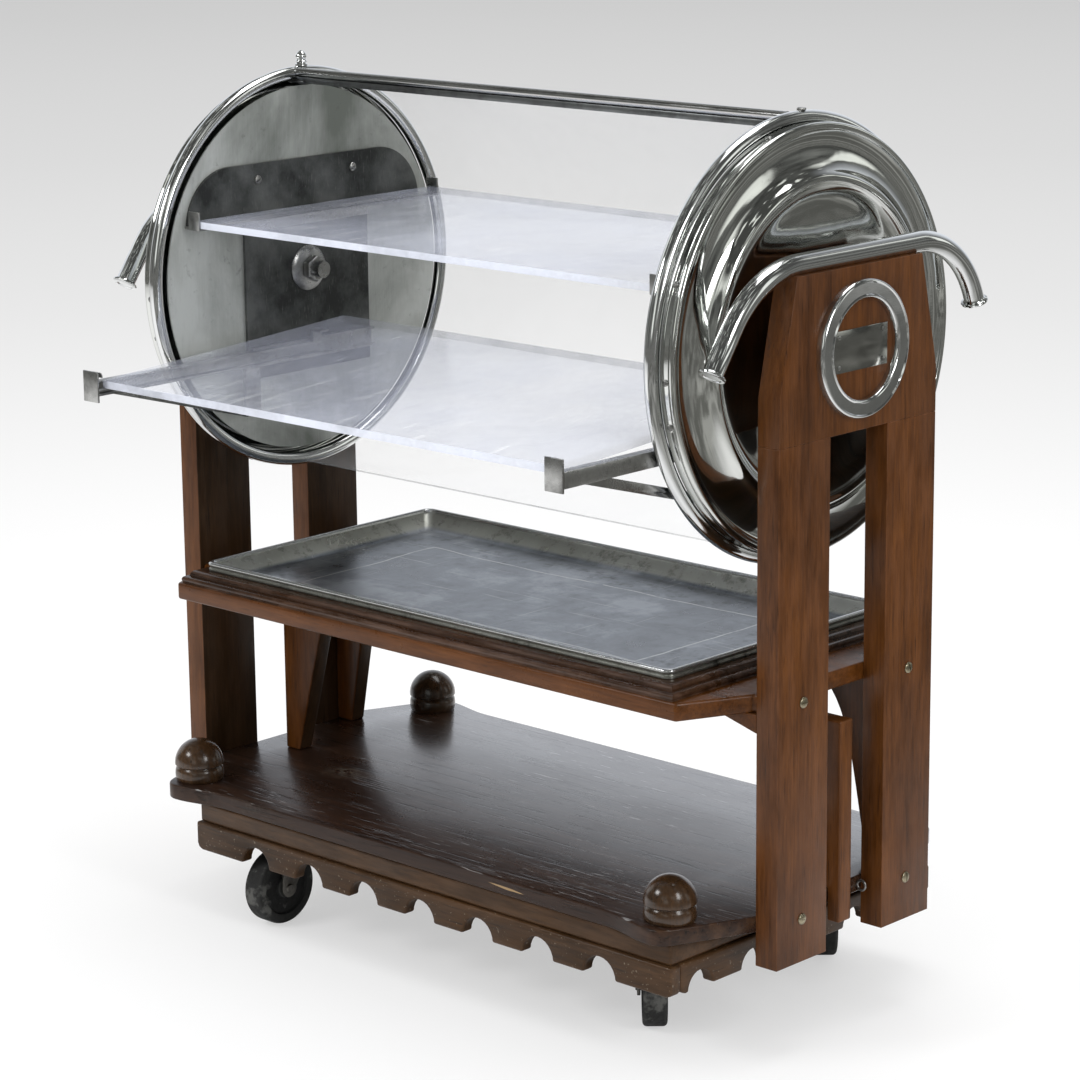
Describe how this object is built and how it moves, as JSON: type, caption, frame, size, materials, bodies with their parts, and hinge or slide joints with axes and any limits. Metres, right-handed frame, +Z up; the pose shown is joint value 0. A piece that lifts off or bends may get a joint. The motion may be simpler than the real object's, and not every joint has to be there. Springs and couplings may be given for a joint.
{
  "type": "dessert trolley",
  "caption": "Roll-top dessert trolley: wooden end frames carry a chrome drum with a clear rolling cover over clear shelves, a lift-out tray and a low deck on casters.",
  "frame": {"origin": "on the floor at the centre of the footprint, midway between the end frames", "axes": "+Z up, -Y to the open front where the lower shelf slides out, +X to the right end seen from the front"},
  "size_m": [1.044, 0.655, 1.116],
  "materials": {
    "mahogany": "red-brown varnish, glossy and worn at the edges",
    "dark_mahogany": "dark red-brown varnish",
    "chrome": "polished, lightly scratched",
    "tray_steel": "worn stainless steel with fine scratches",
    "steel": "plain bright steel",
    "brass": "polished, a little tarnished",
    "dark_plate": "dark satin",
    "clear_sheet": "clear acrylic",
    "tyre": "dark with a pale worn tread"
  },
  "bodies": {
    "frame": {"upright_front_left": "mahogany", "upright_front_right": "mahogany", "upright_rear_left": "mahogany", "upright_rear_right": "mahogany", "head_left": "mahogany", "head_right": "mahogany", "deck": "mahogany", "band": "dark_mahogany", "apron_front": "mahogany", "apron_rear": "mahogany", "apron_left": "mahogany", "apron_right": "mahogany", "finials": "mahogany", "deck_eye": "steel", "tray_shelf": "mahogany", "moulding": "mahogany", "post_left": "mahogany", "fin_right": "mahogany", "rear_brackets": "mahogany", "front_cleats": "mahogany", "frame_screws": "brass", "medallions": "chrome", "nameplates": "steel", "nails": "steel", "handle_left": "chrome", "handle_right": "chrome", "handle_caps": "chrome", "axles": "steel", "liners": "steel", "t_plates": "dark_plate", "plate_screws": "steel", "hub_nuts": "chrome", "upper_shelf": "clear_sheet", "upper_rails": "steel", "guides": "steel", "caster_plates": "steel"},
    "cover": {"bead_ring_left": "chrome", "bead_ring_right": "chrome", "drum_end_left": "chrome", "drum_end_right": "chrome", "hub_sleeves": "steel", "band_screws": "steel", "cover_sheet": "clear_sheet", "cover_rod": "chrome", "rod_strip": "steel", "acorn_bolt": "chrome", "plain_bolt": "steel"},
    "shelf_carriage": {"lower_shelf": "clear_sheet", "arm_left": "steel", "arm_right": "steel", "struts": "steel"},
    "tray": {"tray": "tray_steel"},
    "swivel_front_left": {"fork_front_left": "steel"},
    "wheel_front_left": {"wheel_front_left": "tyre"},
    "swivel_front_right": {"fork_front_right": "steel"},
    "wheel_front_right": {"wheel_front_right": "tyre"},
    "swivel_rear_left": {"fork_rear_left": "steel"},
    "wheel_rear_left": {"wheel_rear_left": "tyre"},
    "swivel_rear_right": {"fork_rear_right": "steel"},
    "wheel_rear_right": {"wheel_rear_right": "tyre"}
  },
  "joints": [
    {"name": "cover_roll", "type": "hinge", "parent": "frame", "child": "cover", "pos_m": [0, 0.0625, 0.831], "axis": [1, 0, 0], "range_deg": [0, 142]},
    {"name": "shelf_slide", "type": "slide", "parent": "frame", "child": "shelf_carriage", "axis": [0, 1, 0], "range_m": [0, 0.216]},
    {"name": "tray_lift", "type": "slide", "parent": "frame", "child": "tray", "axis": [0, 0, 1], "range_m": [0, 0.08]},
    {"name": "swivel_front_left", "type": "hinge", "parent": "frame", "child": "swivel_front_left", "pos_m": [-0.29, -0.1005, 0.1], "axis": [0, 0, 1], "continuous": true},
    {"name": "roll_front_left", "type": "hinge", "parent": "swivel_front_left", "child": "wheel_front_left", "pos_m": [-0.29, -0.1305, 0.049], "axis": [1, 0, 0], "continuous": true},
    {"name": "swivel_front_right", "type": "hinge", "parent": "frame", "child": "swivel_front_right", "pos_m": [0.34, -0.1005, 0.1], "axis": [0, 0, 1], "continuous": true},
    {"name": "roll_front_right", "type": "hinge", "parent": "swivel_front_right", "child": "wheel_front_right", "pos_m": [0.31954, -0.07856, 0.049], "axis": [-0.7314, -0.682, 0], "continuous": true},
    {"name": "swivel_rear_left", "type": "hinge", "parent": "frame", "child": "swivel_rear_left", "pos_m": [-0.29, 0.2255, 0.1], "axis": [0, 0, 1], "continuous": true},
    {"name": "roll_rear_left", "type": "hinge", "parent": "swivel_rear_left", "child": "wheel_rear_left", "pos_m": [-0.275, 0.19952, 0.049], "axis": [0.866, 0.5, 0], "continuous": true},
    {"name": "swivel_rear_right", "type": "hinge", "parent": "frame", "child": "swivel_rear_right", "pos_m": [0.34, 0.2255, 0.1], "axis": [0, 0, 1], "continuous": true},
    {"name": "roll_rear_right", "type": "hinge", "parent": "swivel_rear_right", "child": "wheel_rear_right", "pos_m": [0.31954, 0.24744, 0.049], "axis": [-0.7314, -0.682, 0], "continuous": true}
  ],
  "couplings": [
    {"joint": "shelf_slide", "follows": "cover_roll", "m_per_rad": 0.087}
  ]
}
